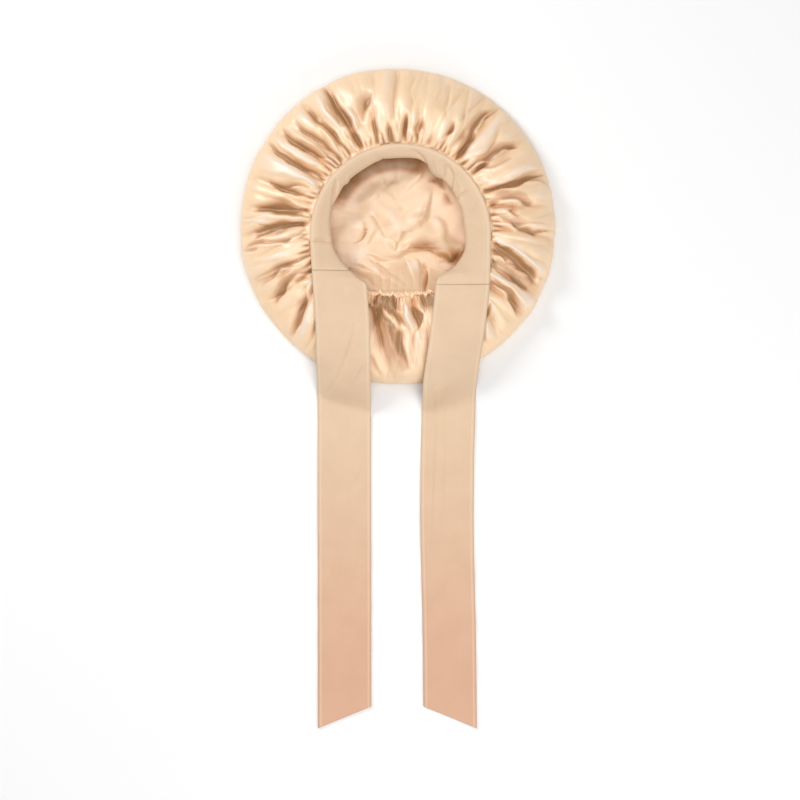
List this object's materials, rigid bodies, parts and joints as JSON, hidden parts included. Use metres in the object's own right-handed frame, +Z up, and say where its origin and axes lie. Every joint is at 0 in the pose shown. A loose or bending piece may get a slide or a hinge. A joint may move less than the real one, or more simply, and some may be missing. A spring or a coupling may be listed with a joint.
{
  "type": "satin sleep bonnet with long ties",
  "caption": "Round gathered satin sleep bonnet with a lining, a wide tie band that runs on as long ties, and an elastic nape, lying open side up.",
  "frame": {"origin": "on the surface it lies on, midway along its length from the crown's rim to the points of the ties", "axes": "+Z up out of the mouth, +Y from the ties towards the forehead side of the crown, +X to the right seen from above"},
  "size_m": [0.3595, 0.7597, 0.0533],
  "materials": {
    "satin": "champagne satin with a soft sheen",
    "lining_satin": "champagne satin with a soft sheen",
    "band_cloth": "matt beige stretch cloth",
    "tie_cloth_left": "matt beige stretch cloth",
    "tie_cloth_right": "matt beige stretch cloth",
    "casing_satin": "gathered champagne satin"
  },
  "bodies": {
    "root": {"crown": "satin", "lining": "lining_satin", "head_band": "band_cloth", "tie_left": "tie_cloth_left", "tie_right": "tie_cloth_right", "nape_casing": "casing_satin"}
  },
  "joints": []
}
